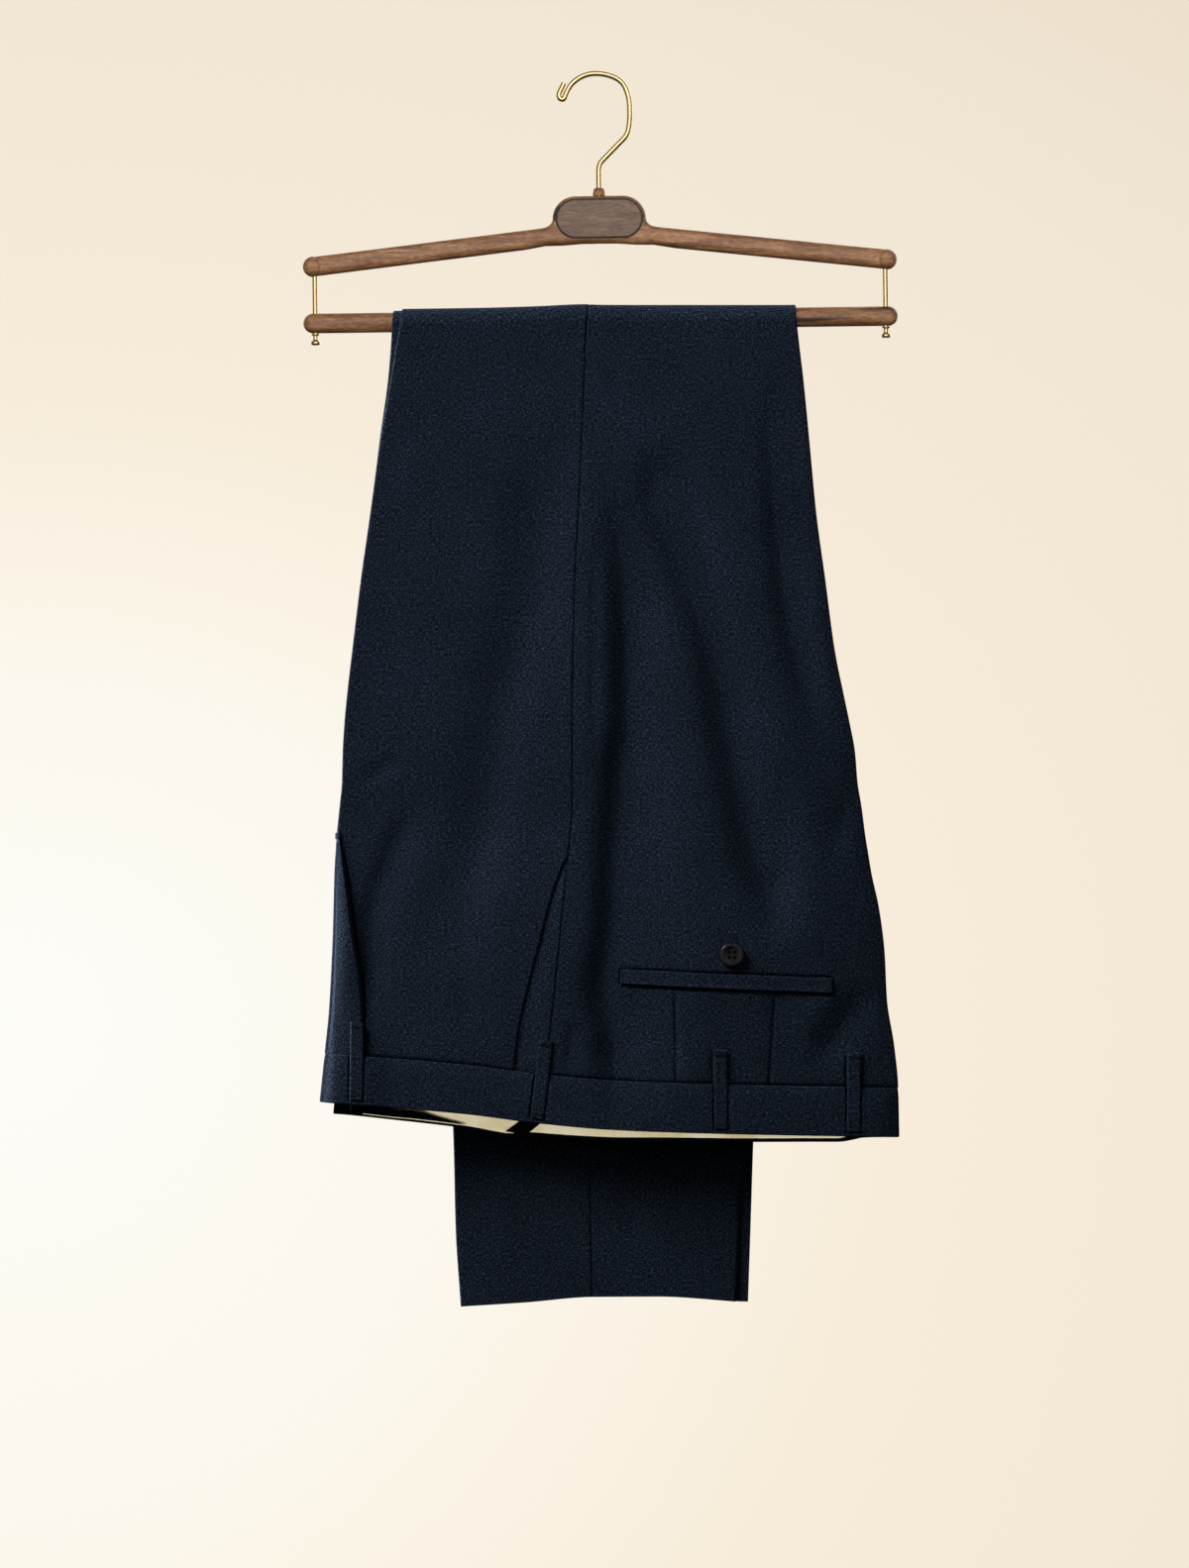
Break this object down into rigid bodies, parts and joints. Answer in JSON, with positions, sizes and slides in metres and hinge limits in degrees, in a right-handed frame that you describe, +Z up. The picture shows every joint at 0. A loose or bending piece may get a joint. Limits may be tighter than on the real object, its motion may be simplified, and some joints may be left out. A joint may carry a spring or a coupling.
{
  "type": "pleated dress trousers on a trouser hanger",
  "caption": "Navy flannel pleated dress trousers, folded in half along their creases and hung over the bar of a walnut trouser hanger with a brass hook.",
  "frame": {"origin": "under the arc of the hook, where a rail carries the hanger", "axes": "+X to the right as the hanger faces the viewer, +Z up, -Y towards the viewer, on the side of the waist"},
  "size_m": [0.396, 0.0398, 0.8236],
  "materials": {
    "flannel": "navy melange wool flannel, matt with a short nap",
    "lining": "cream cotton twill",
    "ribbon": "black woven tape",
    "horn": "dark horn, satin",
    "walnut": "lacquered walnut",
    "inlay": "lacquered walnut, blank oval",
    "brass": "polished pale brass"
  },
  "bodies": {
    "root": {"front_near": "flannel", "front_far": "flannel", "back_near": "flannel", "back_far": "flannel", "pocket_facing_near": "flannel", "pocket_facing_far": "flannel", "waistband_near": "flannel", "waistband_far": "flannel", "waistband_extension": "flannel", "waist_lining_near": "lining", "waist_lining_far": "lining", "hanging_loop": "ribbon", "hip_welt_near": "flannel", "hip_welt_far": "flannel", "hip_button_near": "horn", "hip_button_far": "horn", "belt_loop_near_1": "flannel", "belt_loop_near_2": "flannel", "belt_loop_near_3": "flannel", "belt_loop_near_4": "flannel", "belt_loop_far_1": "flannel", "belt_loop_far_2": "flannel", "belt_loop_far_3": "flannel", "belt_loop_far_4": "flannel", "upper_arm": "walnut", "yoke_inlay": "inlay", "ferrule": "walnut", "lower_bar": "walnut", "hook": "brass", "rod_left": "brass", "rod_right": "brass"}
  },
  "joints": []
}
